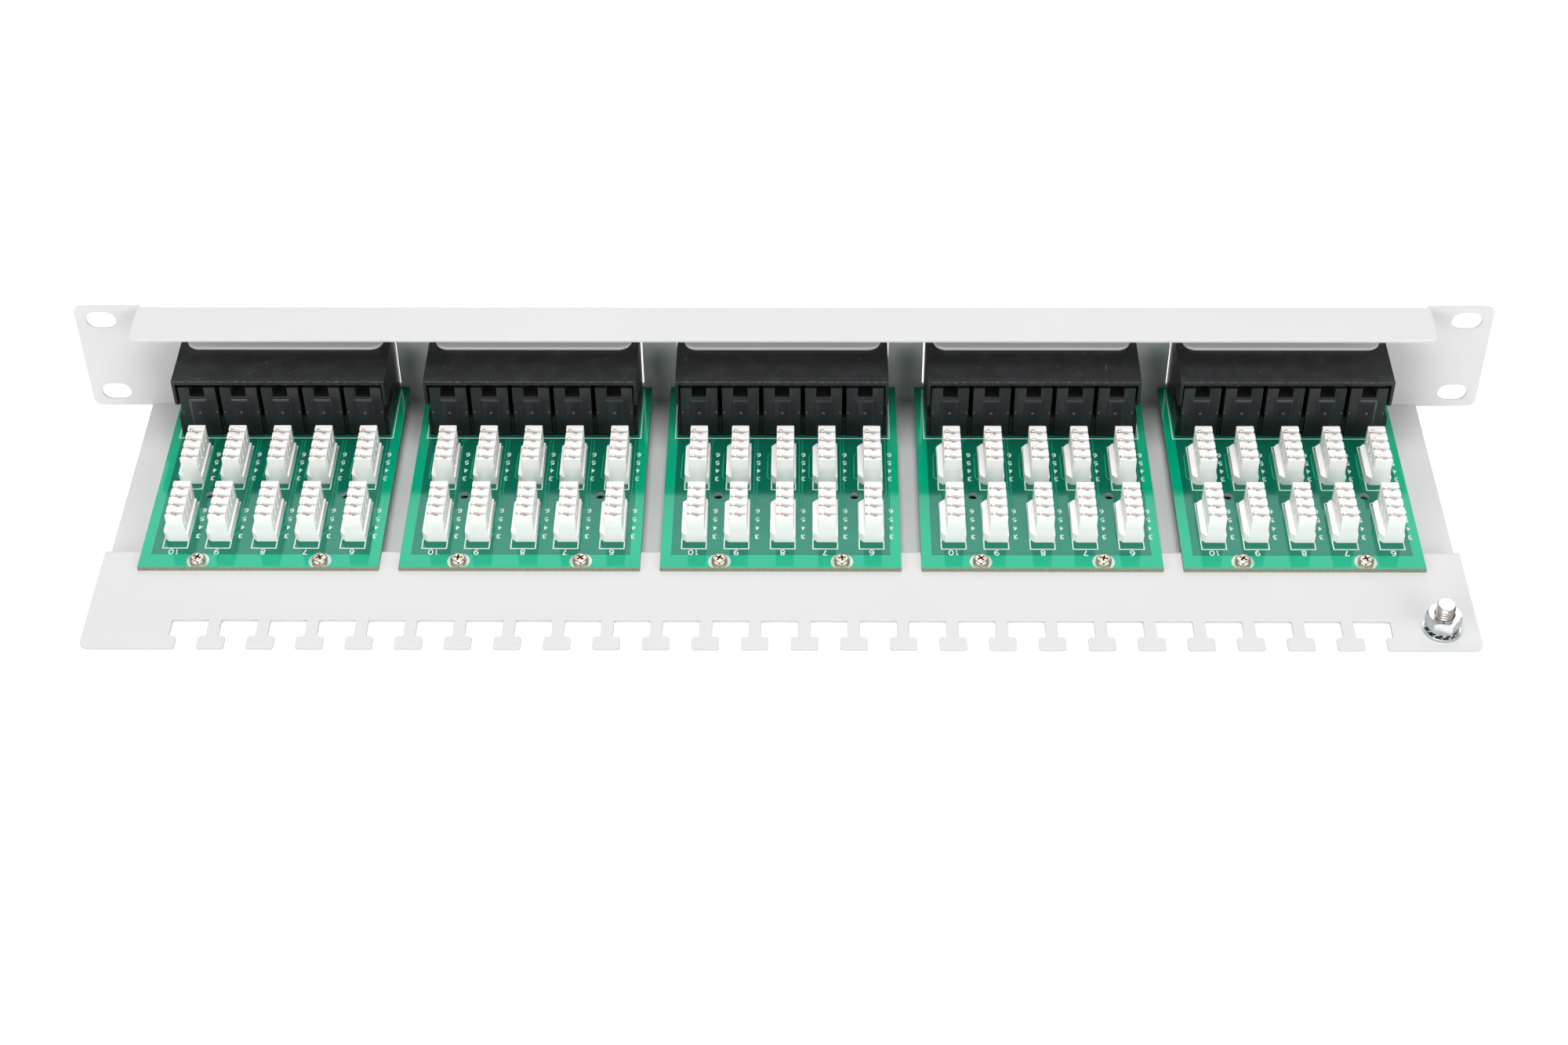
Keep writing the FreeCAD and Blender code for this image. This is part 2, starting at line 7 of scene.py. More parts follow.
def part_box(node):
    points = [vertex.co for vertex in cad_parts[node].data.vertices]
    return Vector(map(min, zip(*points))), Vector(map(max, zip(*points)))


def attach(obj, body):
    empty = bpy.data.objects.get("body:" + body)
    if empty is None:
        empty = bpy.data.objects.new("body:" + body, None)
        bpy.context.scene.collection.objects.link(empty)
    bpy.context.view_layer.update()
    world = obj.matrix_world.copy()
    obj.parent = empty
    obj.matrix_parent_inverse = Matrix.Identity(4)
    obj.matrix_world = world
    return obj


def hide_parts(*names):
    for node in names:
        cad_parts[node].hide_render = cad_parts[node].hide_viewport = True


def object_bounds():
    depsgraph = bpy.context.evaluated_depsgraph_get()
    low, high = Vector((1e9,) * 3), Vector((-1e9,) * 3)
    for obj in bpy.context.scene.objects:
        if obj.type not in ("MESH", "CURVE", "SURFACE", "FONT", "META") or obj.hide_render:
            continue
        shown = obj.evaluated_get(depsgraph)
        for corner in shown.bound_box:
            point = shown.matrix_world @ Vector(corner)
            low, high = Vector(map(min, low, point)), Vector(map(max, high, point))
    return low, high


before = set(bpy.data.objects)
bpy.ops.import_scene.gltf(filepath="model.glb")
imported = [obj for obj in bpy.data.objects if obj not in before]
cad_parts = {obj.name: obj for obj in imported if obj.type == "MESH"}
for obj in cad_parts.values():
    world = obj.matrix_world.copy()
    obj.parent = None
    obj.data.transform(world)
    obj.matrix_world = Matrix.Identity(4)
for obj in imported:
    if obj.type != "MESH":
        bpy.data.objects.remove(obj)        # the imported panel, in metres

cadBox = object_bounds()
mm = 0.001
touch = 0.02             # mm, how near counts as the same place
loose = 0.05             # mm, the same with some slack
weld = 0.002             # mm, nearer points are merged
upright = 0.5            # mm, the least height of an edge that counts as upright
squarely = 0.9           # the part of a normal along an axis from which a face looks that way
overshoot = 1            # mm, how far a cutting tool goes past what it cuts
moduleCount = 5


def middleX(node):
    low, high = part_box(node)
    return (low.x + high.x) / 2 / mm


modules = {number: middleX(f"circuit_board_{number}") for number in range(1, moduleCount + 1)}
modelModule = 3          # every module is modelled here, then copied along X
columnCount = 5
columnPitch = 13.97
columns = [((columnCount - 1) / 2 - index) * columnPitch for index in range(columnCount)]
blockPlaces = [27.7, 13.85, -1.2, -15.05, -30.1]
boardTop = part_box("circuit_board_3")[1].z / mm
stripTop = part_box("earth_flat_washer")[0].z / mm


# Handling objects

def boxOf(node):
    return [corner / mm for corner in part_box(node)]


def same(first, second, reach=touch):
    return abs(first - second) < reach


def isUpright(a, b):
    return same(a.x, b.x) and same(a.y, b.y) and abs(a.z - b.z) > upright


def only(piece):
    bpy.ops.object.select_all(action="DESELECT")
    piece.select_set(True)
    bpy.context.view_layer.objects.active = piece


def freshObject(name):
    piece = bpy.context.object
    piece.name = name
    piece.data.name = name
    return piece


def placeInMesh(piece):
    only(piece)
    bpy.ops.object.transform_apply(location=True, rotation=True, scale=True)


def nodeCopy(node, name):
    # the node's own triangles, merged into faces that can be worked on
    piece = bpy.data.objects.new(name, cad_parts[node].data.copy())
    piece.data.materials.clear()
    bpy.context.scene.collection.objects.link(piece)
    only(piece)
    bpy.ops.mesh.customdata_custom_splitnormals_clear()
    bpy.ops.object.mode_set(mode="EDIT")
    bpy.ops.mesh.select_all(action="SELECT")
    bpy.ops.mesh.remove_doubles(threshold=weld * mm)
    bpy.ops.mesh.dissolve_limited(angle_limit=math.radians(1))
    bpy.ops.object.mode_set(mode="OBJECT")
    return piece


def copyTo(model, name, x=0, y=0, z=0):
    mesh = model.data.copy()
    mesh.name = name
    mesh.transform(Matrix.Translation(Vector((x, y, z)) * mm))
    piece = bpy.data.objects.new(name, mesh)
    bpy.context.scene.collection.objects.link(piece)
    return piece


def drop(piece):
    bpy.data.objects.remove(piece, do_unlink=True)


def joined(pieces, name):
    only(pieces[0])
    for piece in pieces[1:]:
        piece.select_set(True)
    bpy.ops.object.join()
    return freshObject(name)


def pickEdges(piece, wanted):
    only(piece)
    bpy.ops.object.mode_set(mode="EDIT")
    bpy.ops.mesh.select_mode(type="EDGE")
    bpy.ops.mesh.select_all(action="DESELECT")
    bpy.ops.object.mode_set(mode="OBJECT")
    points = [vertex.co / mm for vertex in piece.data.vertices]
    for edge in piece.data.edges:
        edge.select = wanted(points[edge.vertices[0]], points[edge.vertices[1]])
    bpy.ops.object.mode_set(mode="EDIT")


def pickFaces(piece, wanted):
    only(piece)
    bpy.ops.object.mode_set(mode="EDIT")
    bpy.ops.mesh.select_mode(type="FACE")
    bpy.ops.mesh.select_all(action="DESELECT")
    bpy.ops.object.mode_set(mode="OBJECT")
    for face in piece.data.polygons:
        face.select = wanted(face.center / mm, face.normal)
    bpy.ops.object.mode_set(mode="EDIT")


def pickSharp(piece, wanted, angle=30):
    only(piece)
    bpy.ops.object.mode_set(mode="EDIT")
    bpy.ops.mesh.select_mode(type="EDGE")
    bpy.ops.mesh.select_all(action="DESELECT")
    bpy.ops.mesh.edges_select_sharp(sharpness=math.radians(angle))
    bpy.ops.object.mode_set(mode="OBJECT")
    sharp = {tuple(edge.vertices) for edge in piece.data.edges if edge.select}
    points = [vertex.co / mm for vertex in piece.data.vertices]
    bpy.ops.object.mode_set(mode="EDIT")
    bpy.ops.mesh.select_all(action="DESELECT")
    bpy.ops.object.mode_set(mode="OBJECT")
    for edge in piece.data.edges:
        edge.select = tuple(edge.vertices) in sharp and wanted(*[points[index] for index in edge.vertices])
    bpy.ops.object.mode_set(mode="EDIT")


def bevelPicked(width, segments, clamp=True):
    bpy.ops.mesh.bevel(offset=width * mm, segments=segments, affect="EDGES", clamp_overlap=clamp)
    bpy.ops.object.mode_set(mode="OBJECT")


def softEdges(piece, width, segments=2, angle=30):
    only(piece)
    bevel = piece.modifiers.new("soft edges", "BEVEL")
    bevel.width = width * mm
    bevel.segments = segments
    bevel.limit_method = "ANGLE"
    bevel.angle_limit = math.radians(angle)
    bpy.ops.object.modifier_apply(modifier=bevel.name)
    smoothShading(piece)


def smoothShading(piece, angle=40):
    only(piece)
    bpy.ops.object.shade_smooth_by_angle(angle=math.radians(angle))
    even = piece.modifiers.new("even shading", "WEIGHTED_NORMAL")
    even.keep_sharp = True
    bpy.ops.object.modifier_apply(modifier=even.name)


def cutWith(piece, tool, operation="DIFFERENCE"):
    only(piece)
    cut = piece.modifiers.new("cut", "BOOLEAN")
    cut.operation = operation
    cut.solver = "EXACT"
    cut.object = tool
    bpy.ops.object.modifier_apply(modifier=cut.name)
    drop(tool)


def addBlock(name, low, high):
    bpy.ops.object.select_all(action="DESELECT")
    middle = [(a + b) / 2 * mm for a, b in zip(low, high)]
    bpy.ops.mesh.primitive_cube_add(size=1, location=middle)
    piece = freshObject(name)
    piece.scale = [(b - a) * mm for a, b in zip(low, high)]
    placeInMesh(piece)
    return piece


def addRound(name, radius, low, high, x=0, y=0, sides=32):
    bpy.ops.object.select_all(action="DESELECT")
    place = Vector((x, y, (low + high) / 2)) * mm
    bpy.ops.mesh.primitive_cylinder_add(vertices=sides, radius=radius * mm, depth=(high - low) * mm,
                                        location=place)
    piece = freshObject(name)
    placeInMesh(piece)
    return piece


def settle(piece, material, slot, *nodes):
    if not piece.data.materials:
        piece.data.materials.append(material)
    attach(piece, "root")
    if nodes:
        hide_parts(*nodes)


def copyToModules(model, name, material, slot, node=None):
    for number, x in modules.items():
        piece = copyTo(model, f"{name}_{number}", x - modules[modelModule])
        settle(piece, material, slot, *([f"{node}_{number}"] if node else []))
    drop(model)


# Materials

def linear(colour):
    parts = [int(colour[place:place + 2], 16) / 255 for place in (1, 3, 5)]
    return [part / 12.92 if part <= 0.04045 else ((part + 0.055) / 1.055) ** 2.4 for part in parts] + [1.0]


def addNode(tree, kind, settings, links=None):
    node = tree.nodes.new("ShaderNode" + kind)
    for name, value in settings.items():
        if isinstance(name, int) or name in node.inputs:
            node.inputs[name].default_value = value
        else:
            setattr(node, name, value)
    for name, source in (links or {}).items():
        tree.links.new(source, node.inputs[name])
    return node


def newMaterial(name, sockets):
    material = bpy.data.materials.new(name)
    material.use_nodes = True
    tree = material.node_tree
    shader = tree.nodes["Principled BSDF"]
    for socket, value in sockets.items():
        shader.inputs[socket].default_value = value
    coords = addNode(tree, "TexCoord", {}).outputs["Object"]
    return material, tree, shader, coords


def noise(tree, coords, size, detail):
    # a cloudy pattern whose features have the given size in mm
    settings = {"Scale": 1 / (size * mm), "Detail": detail}
    return addNode(tree, "TexNoise", settings, {"Vector": coords}).outputs[0]


def blend(tree, low, high, share):
    tones = {"data_type": "RGBA", 6: linear(low), 7: linear(high)}
    return addNode(tree, "Mix", tones, {0: share}).outputs[2]


def combine(tree, operation, first, second):
    return addNode(tree, "Math", {"operation": operation}, {0: first, 1: second}).outputs[0]


def ramp(tree, value, start, end, low, high):
    settings = {"From Min": start, "From Max": end, "To Min": low, "To Max": high}
    return addNode(tree, "MapRange", settings, {"Value": value}).outputs[0]


def relief(tree, shader, height, strength, depth):
    settings = {"Strength": strength, "Distance": depth * mm}
    bump = addNode(tree, "Bump", settings, {"Height": height})
    tree.links.new(bump.outputs[0], shader.inputs["Normal"])


def powderCoat(name, low, high):
    # powder coat baked on steel: pale, satin, with a faint orange peel
    look = {"peel": 0.9, "peelDepth": 0.03, "cloud": 35, "gloss": (0.36, 0.5)}
    material, tree, shader, coords = newMaterial(name, {"Roughness": 0.42})
    peel = noise(tree, coords, look["peel"], 2.0)
    cloud = noise(tree, coords, look["cloud"], 5.0)
    gloss = ramp(tree, cloud, 0.0, 1.0, *look["gloss"])
    tree.links.new(blend(tree, low, high, cloud), shader.inputs["Base Color"])
    tree.links.new(gloss, shader.inputs["Roughness"])
    relief(tree, shader, peel, 0.35, look["peelDepth"])
    return material


def blackPolyester(name, base, roughness, dust, rubbed=()):
    # glass-filled polyester, moulded: near black with a fine grain, dust and scratches on what faces up,
    # and pale, rubbed long edges at the (y, z) places given
    look = {"grain": 0.25, "grainDepth": 0.02, "pale": "#8E9094",
            "speck": 2.0, "speckShare": 0.72, "speckEdge": (0.04, 0.13), "speckTone": 0.7,
            "smear": 6, "haze": (0.45, 0.8), "hazeTone": 0.06,
            "scratch": 16, "scratchLevel": 0.46, "scratchWidth": 0.0035, "scratched": (0.55, 0.64),
            "scratchTone": 0.35,
            "upward": (0.6, 1.0), "rub": 1.4, "rubReach": 0.24, "rubEdge": (0.42, 0.66)}
    material, tree, shader, coords = newMaterial(name, {"Roughness": roughness})
    grain = noise(tree, coords, look["grain"], 2.0)
    smear = noise(tree, coords, look["smear"], 6.0)
    haze = ramp(tree, smear, *look["haze"], 0.0, look["hazeTone"])
    cells = addNode(tree, "TexVoronoi", {"Scale": 1 / (look["speck"] * mm)}, {"Vector": coords})
    spot = ramp(tree, cells.outputs["Distance"], *look["speckEdge"], look["speckTone"], 0.0)
    draw = addNode(tree, "SeparateXYZ", {}, {0: cells.outputs["Color"]})
    chosen = addNode(tree, "Math", {"operation": "GREATER_THAN", 1: look["speckShare"]},
                     {0: draw.outputs[0]})
    dots = combine(tree, "MULTIPLY", spot, chosen.outputs[0])
    swirl = noise(tree, coords, look["scratch"], 1.0)
    line = addNode(tree, "Math", {"operation": "COMPARE", 1: look["scratchLevel"], 2: look["scratchWidth"]},
                   {0: swirl})
    lineShare = ramp(tree, smear, *look["scratched"], 0.0, look["scratchTone"])
    lines = combine(tree, "MULTIPLY", line.outputs[0], lineShare)
    marks = combine(tree, "MAXIMUM", combine(tree, "MAXIMUM", dots, lines), haze)
    facing = addNode(tree, "SeparateXYZ", {}, {0: addNode(tree, "NewGeometry", {}).outputs["Normal"]})
    upward = ramp(tree, facing.outputs[2], *look["upward"], 0.0, dust)
    amount = combine(tree, "MULTIPLY", marks, upward)
    place = addNode(tree, "SeparateXYZ", {}, {0: coords})
    rub = noise(tree, coords, look["rub"], 3.0)
    for y, z, strength in rubbed:
        share = ramp(tree, rub, *look["rubEdge"], 0.0, strength)
        for axis, level in ((1, y), (2, z)):
            near = addNode(tree, "Math", {"operation": "COMPARE", 1: level * mm, 2: look["rubReach"] * mm},
                           {0: place.outputs[axis]})
            share = combine(tree, "MULTIPLY", share, near.outputs[0])
        amount = combine(tree, "MAXIMUM", amount, share)
    tree.links.new(blend(tree, base, look["pale"], amount), shader.inputs["Base Color"])
    relief(tree, shader, grain, 0.4, look["grainDepth"])
    return material


def solderMask():
    # epoxy solder mask over glass cloth: a glossy green, lighter where a copper field lies below it
    look = {"field": "#0B6B54", "copper": "#00A87E", "copperX": 35.6, "copperY": 84.4,
            "weave": 0.6, "weaveDepth": 0.01}
    material, tree, shader, coords = newMaterial("solder mask", {
        "Roughness": 0.08, "IOR": 1.65, "Specular Tint": (0.35, 1.0, 0.85, 1.0)})
    place = addNode(tree, "SeparateXYZ", {}, {0: coords})
    half = (modules[2] - modules[1]) / 2 * mm
    local = addNode(tree, "Math", {"operation": "WRAP", 1: half, 2: -half}, {0: place.outputs[0]})
    side = addNode(tree, "Math", {"operation": "ABSOLUTE"}, {0: local.outputs[0]})
    bands = []
    for edge, way in (("copperX", side.outputs[0]), ("copperY", place.outputs[1])):
        past = addNode(tree, "Math", {"operation": "GREATER_THAN", 1: look[edge] * mm}, {0: way})
        bands.append(past.outputs[0])
    band = combine(tree, "MAXIMUM", *bands)
    tree.links.new(blend(tree, look["field"], look["copper"], band), shader.inputs["Base Color"])
    relief(tree, shader, noise(tree, coords, look["weave"], 2.0), 0.15, look["weaveDepth"])
    return material


def glassLaminate(name, low, high):
    # cut glass-epoxy laminate: dull, with upright cutter marks
    look = {"tooth": 0.45, "tall": 4.0, "toothDepth": 0.08}
    material, tree, shader, coords = newMaterial(name, {"Roughness": 0.75})
    stretched = addNode(tree, "Mapping", {"Scale": (1, 1, look["tooth"] / look["tall"])}, {"Vector": coords})
    fibre = noise(tree, stretched.outputs[0], look["tooth"], 3.0)
    tree.links.new(blend(tree, low, high, fibre), shader.inputs["Base Color"])
    relief(tree, shader, fibre, 0.8, look["toothDepth"])
    return material


def copperUnderMask():
    # copper tracks seen through the mask: the same gloss, a step lighter
    look = {"low": "#0F8F70", "high": "#1DA383", "cloud": 3}
    material, tree, shader, coords = newMaterial("copper under mask", {
        "Roughness": 0.1, "IOR": 1.65, "Specular Tint": (0.35, 1.0, 0.85, 1.0)})
    cloud = noise(tree, coords, look["cloud"], 2.0)
    tree.links.new(blend(tree, look["low"], look["high"], cloud), shader.inputs["Base Color"])
    return material


def screenInk():
    # white epoxy ink, screen printed: matt, a little thin in places
    look = {"low": "#C3D3C9", "high": "#EEF1EC", "thin": 0.5}
    material, tree, shader, coords = newMaterial("screen ink", {"Roughness": 0.6})
    thin = noise(tree, coords, look["thin"], 2.0)
    tree.links.new(blend(tree, look["low"], look["high"], thin), shader.inputs["Base Color"])
    return material


def whitePolycarbonate():
    # polycarbonate, moulded white: satin, lets a little light into its edges
    look = {"low": "#F9F7F5", "high": "#FDFBFA", "cloud": 8, "grain": 0.3, "grainDepth": 0.01}
    material, tree, shader, coords = newMaterial("white polycarbonate", {
        "Roughness": 0.38, "IOR": 1.58, "Subsurface Weight": 0.1, "Subsurface Scale": 0.6 * mm,
        "Subsurface Radius": (1.0, 0.9, 0.8)})
    cloud = noise(tree, coords, look["cloud"], 4.0)
    tree.links.new(blend(tree, look["low"], look["high"], cloud), shader.inputs["Base Color"])
    relief(tree, shader, noise(tree, coords, look["grain"], 2.0), 0.2, look["grainDepth"])
    return material


def platedMetal(name, low, high, roughness, patch):
    # plated metal: bright, with patches of tarnish that roughen it a little
    look = {"brighter": 0.08, "duller": 0.12}
    material, tree, shader, coords = newMaterial(name, {"Metallic": 1.0})
    cloud = noise(tree, coords, patch, 4.0)
    gloss = ramp(tree, cloud, 0.0, 1.0, roughness - look["brighter"], roughness + look["duller"])
    tree.links.new(blend(tree, low, high, cloud), shader.inputs["Base Color"])
    tree.links.new(gloss, shader.inputs["Roughness"])
    return material


paint = powderCoat("powder coat", "#D7D8D8", "#DFDFDE")
# a darker copy of the powder coat: painted shade for the strip's upright cut faces
edgeShadePaint = powderCoat("powder coat darkened as painted shade on cut edges", "#C6C7C7", "#CECECD")
hoodEdge = [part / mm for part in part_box("jack_housing_3")[1]]
shellBlack = blackPolyester("black polyester shell", "#151618", 0.42, 0.9,
                            [(hoodEdge[1], hoodEdge[2], 0.4), (hoodEdge[1], hoodEdge[2] - 1.4, 0.2)])
insertBlack = blackPolyester("black polyester insert", "#27282B", 0.28, 0.35)
# lighter grey for the moulding marks: partly the roughened gate's own tone, partly a painted highlight
scuffHighlightBlack = blackPolyester("scuffed polyester lightened with painted highlight", "#4A4A4C", 0.5, 0.2)
mask = solderMask()
laminate = glassLaminate("milled glass laminate", "#706F5F", "#989782")
# pale grey hole walls stand in for light inside the shadowed holes: painted light
holeLightLaminate = glassLaminate("glass laminate painted pale as light in holes", "#CDD0D3", "#E6E8EA")
copper = copperUnderMask()
ink = screenInk()
white = whitePolycarbonate()
bronze = platedMetal("tinned bronze", "#D9CBB6", "#F0E9DD", 0.45, 0.6)
gold = platedMetal("gold plate", "#D9A94E", "#EBC876", 0.22, 1.0)
zinc = platedMetal("zinc plate", "#B4B9BC", "#CDD1D4", 0.2, 2.0)
nickel = platedMetal("nickel plate", "#A89D8E", "#DAD2C5", 0.18, 0.8)
# dark brown nickel for the screws' cross recess: painted shade
recessShade = platedMetal("nickel darkened as painted shade", "#3E342B", "#7A6A5A", 0.4, 0.5)
tin = platedMetal("tinned copper", "#A7B0A6", "#C6CFC5", 0.36, 0.7)
# a brownish tint on the stud's thread stands in for a brown reflection: painted reflection
threadTintZinc = platedMetal("zinc plate tinted brown as painted reflection", "#A69C95", "#CFC8C2", 0.24, 0.8)
print("materials made")


# Folded sheet

sheetLook = {"softEdge": 0.3, "combPitch": 15.58, "headEdge": 3.39, "stemEdge": 5.79, "headRound": 0.9,
             "rootRound": 0.6, "combStart": 112.0, "tabRound": 1.7, "tabStart": 7.0, "tabFoot": 0.1,
             "tabReach": 1.4, "stripStart": 95.0, "cutFace": 0.4, "softStart": 4.0, "earStart": 225.0}


def combOffset(point):
    steps = point.x / sheetLook["combPitch"]
    return abs(steps - round(steps)) * sheetLook["combPitch"]


def foldedSheet():
    sheet = nodeCopy("chassis", "folded_sheet")
    for place, width in (("headEdge", "headRound"), ("stemEdge", "rootRound")):
        pickEdges(sheet, lambda a, b: isUpright(a, b) and a.y > sheetLook["combStart"]
                  and same(combOffset(a), sheetLook[place], loose))
        bevelPicked(sheetLook[width], 4, False)
    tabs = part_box("jack_housing_3")[1].z / mm
    pickEdges(sheet, lambda a, b: isUpright(a, b) and min(a.z, b.z) > tabs - sheetLook["tabFoot"]
              and max(a.z, b.z) < tabs + sheetLook["tabReach"] and a.y > sheetLook["tabStart"])
    bevelPicked(sheetLook["tabRound"], 4, False)
    pickSharp(sheet, lambda a, b: min(a.y, b.y) > sheetLook["softStart"]
              or min(abs(a.x), abs(b.x)) > sheetLook["earStart"])
    bevelPicked(sheetLook["softEdge"], 2, False)
    smoothShading(sheet)
    sheet.data.materials.append(paint)
    sheet.data.materials.append(edgeShadePaint)
    # the strip's upright cut faces take the darker copy of the paint as painted shade
    for face in sheet.data.polygons:
        onCut = abs(face.normal.z) < sheetLook["cutFace"]
        onStrip = face.center.y > sheetLook["stripStart"] * mm
        face.material_index = 1 if onCut and onStrip else 0
    settle(sheet, paint, "painted_sheet", "chassis")


foldedSheet()
print("folded sheet made")


# Jack housings

shellLook = {"softEdge": 0.2, "tongueRound": 3.2, "tongueX": 33, "tongueDrop": 5, "tongueLeast": 0.5}


def jackShells():
    node = f"jack_housing_{modelModule}"
    shell = nodeCopy(node, "shell")
    high = boxOf(node)[1]
    pickEdges(shell, lambda a, b: same(a.y, high.y, loose) and same(b.y, high.y, loose)
              and same(a.z, b.z) and abs(a.x - b.x) > shellLook["tongueLeast"]
              and abs(a.x) > shellLook["tongueX"] and a.z < high.z - shellLook["tongueDrop"])
    bevelPicked(shellLook["tongueRound"], 5)
    softEdges(shell, shellLook["softEdge"])
    copyToModules(shell, "jack_shell", shellBlack, "black_moulding", "jack_housing")


jackShells()


# Jack inserts: a raised panel with sloped sides below the notch, a seam, a gate mark and two knock-out marks

insertLook = {"softEdge": 0.15, "notchBevel": 0.4, "notchFloor": 3.7,
              "panelFoot": 7.6, "panelHead": 4.9, "panelLow": -12.9, "panelProud": 0.34, "panelSunk": 0.3,
              "panelSlope": 1.2, "panelSoft": 0.6, "panelSteps": 5, "panelAngle": 5,
              "gate": 0.56, "gateZ": -3.1, "marks": 0.38, "markX": 5.65, "markShape": (1, 0.45, 1.1),
              "seamZ": 1.1, "seamHalf": 0.07, "seamProud": 0.04, "seamSunk": 0.2}


def moulderMark(x, y, z, radius):
    bpy.ops.object.select_all(action="DESELECT")
    bpy.ops.mesh.primitive_uv_sphere_add(segments=14, ring_count=8, radius=radius * mm,
                                         location=Vector((x, y, z)) * mm)
    mark = freshObject("mark")
    mark.scale = insertLook["markShape"]
    placeInMesh(mark)
    smoothShading(mark)
    # the marks take the lighter grey: partly their own tone, partly a painted highlight
    mark.data.materials.append(scuffHighlightBlack)
    return mark


def jackInserts():
    node = f"jack_inserts_{modelModule}"
    inserts = nodeCopy(node, "inserts")
    inserts.data.materials.append(insertBlack)
    low, high = boxOf(node)
    rear = high.y
    floor = insertLook["notchFloor"]
    pickEdges(inserts, lambda a, b: same(a.y, rear, loose) and same(b.y, rear, loose)
              and same(a.z, floor, loose) and same(b.z, floor, loose))
    bevelPicked(insertLook["notchBevel"], 1)
    softEdges(inserts, insertLook["softEdge"])
    pieces = [inserts]
    half = insertLook["panelFoot"] / 2
    foot = insertLook["panelLow"]
    top = floor - insertLook["notchBevel"]
    front = rear + insertLook["panelProud"]
    narrowed = insertLook["panelHead"] / insertLook["panelFoot"]
    lowered = 1 - insertLook["panelSlope"] / (top - foot)
    reach = columns[-1] - low.x
    seamLow = insertLook["seamZ"] - insertLook["seamHalf"]
    seamHigh = insertLook["seamZ"] + insertLook["seamHalf"]
    for x in columns:
        panel = addBlock("panel", (x - half, rear - insertLook["panelSunk"], foot), (x + half, front, top))
        pickFaces(panel, lambda centre, normal: normal.y > squarely)
        bpy.ops.transform.resize(value=(narrowed, 1, lowered), center_override=Vector((x, 0, foot)) * mm)
        bpy.ops.object.mode_set(mode="OBJECT")
        softEdges(panel, insertLook["panelSoft"], insertLook["panelSteps"], insertLook["panelAngle"])
        seam = addBlock("seam", (x - reach, rear - insertLook["seamSunk"], seamLow),
                        (x + reach, rear + insertLook["seamProud"], seamHigh))
        for part in (panel, seam):
            part.data.materials.append(insertBlack)
            pieces.append(part)
        pieces.append(moulderMark(x, front, insertLook["gateZ"], insertLook["gate"]))
        for side in (-1, 1):
            markX = x + side * insertLook["markX"]
            pieces.append(moulderMark(markX, rear, insertLook["gateZ"], insertLook["marks"]))
    inserts = joined(pieces, "inserts")
    copyToModules(inserts, "jack_insert", insertBlack, "black_moulding", "jack_inserts")


jackInserts()
print("jacks made")


# Spring wires in the sockets

springLook = {"wire": 0.22, "pitch": 1.02, "count": 4,
              "upper": [(2.6, 1.0), (4.2, 0.95), (6.0, 1.3), (10.0, 3.3), (13.6, 4.4)],
              "lower": [(2.6, -3.2), (4.2, -3.15), (6.0, -3.5), (10.0, -5.5), (13.6, -6.6)]}


def wireMesh(name, routes, radius, sides):
    curve = bpy.data.curves.new(name, "CURVE")
    curve.dimensions = "3D"
    curve.bevel_depth = radius * mm
    curve.bevel_resolution = sides
    curve.use_fill_caps = True
    for route in routes:
        spline = curve.splines.new("POLY")
        spline.points.add(len(route) - 1)
        for point, place in zip(spline.points, route):
            point.co = [part * mm for part in place] + [1]
    piece = bpy.data.objects.new(name, curve)
    bpy.context.scene.collection.objects.link(piece)
    only(piece)
    bpy.ops.object.convert(target="MESH")
    return bpy.context.object


def springWires():
    routes = []
    for row in ("upper", "lower"):
        for column in columns:
            for index in range(springLook["count"]):
                x = column + (index - (springLook["count"] - 1) / 2) * springLook["pitch"]
                routes.append([(x, y, z) for y, z in springLook[row]])
    wires = wireMesh("wires", routes, springLook["wire"], 1)
    smoothShading(wires)
    copyToModules(wires, "spring_wires", gold, "zinc_steel")


springWires()
print("spring wires made")


# Circuit boards

boardLook = {"softEdge": 0.06, "softAngle": 60, "rim": 1.0, "flat": 0.5}


def circuitBoards():
    node = f"circuit_board_{modelModule}"
    board = nodeCopy(node, "board")
    for material in (mask, laminate, holeLightLaminate):
        board.data.materials.append(material)
    low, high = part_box(node)
    for face in board.data.polygons:
        middle = face.center
        inset = min(middle.x - low.x, high.x - middle.x, middle.y - low.y, high.y - middle.y)
        # faces further in than the rim are hole walls and take the pale laminate as painted light
        wall = 2 if inset > boardLook["rim"] * mm else 1
        face.material_index = 0 if abs(face.normal.z) > boardLook["flat"] else wall
    softEdges(board, boardLook["softEdge"], 1, boardLook["softAngle"])
    copyToModules(board, "board", mask, "green_board", "circuit_board")


def flatStrips(name, routes, width, height):
    # a flat profile drawn along each route on the board's face
    profile = bpy.data.curves.new("profile", "CURVE")
    edge = profile.splines.new("POLY")
    edge.points.add(3)
    corners = [(-width / 2, 0), (width / 2, 0), (width / 2, height), (-width / 2, height)]
    for point, (across, up) in zip(edge.points, corners):
        point.co = (across * mm, up * mm, 0, 1)
    edge.use_cyclic_u = True
    section = bpy.data.objects.new("profile", profile)
    curve = bpy.data.curves.new(name, "CURVE")
    curve.dimensions = "2D"
    curve.fill_mode = "NONE"
    curve.bevel_mode = "OBJECT"
    curve.bevel_object = section
    curve.use_fill_caps = True
    for route in routes:
        spline = curve.splines.new("POLY")
        spline.points.add(len(route) - 1)
        for point, (x, y) in zip(spline.points, route):
            point.co = (x * mm, y * mm, 0, 1)
    piece = bpy.data.objects.new(name, curve)
    bpy.context.scene.collection.objects.link(piece)
    only(piece)
    bpy.ops.object.convert(target="MESH")
    piece = bpy.context.object
    piece.location.z = boardTop * mm
    placeInMesh(piece)
    drop(section)
    return piece


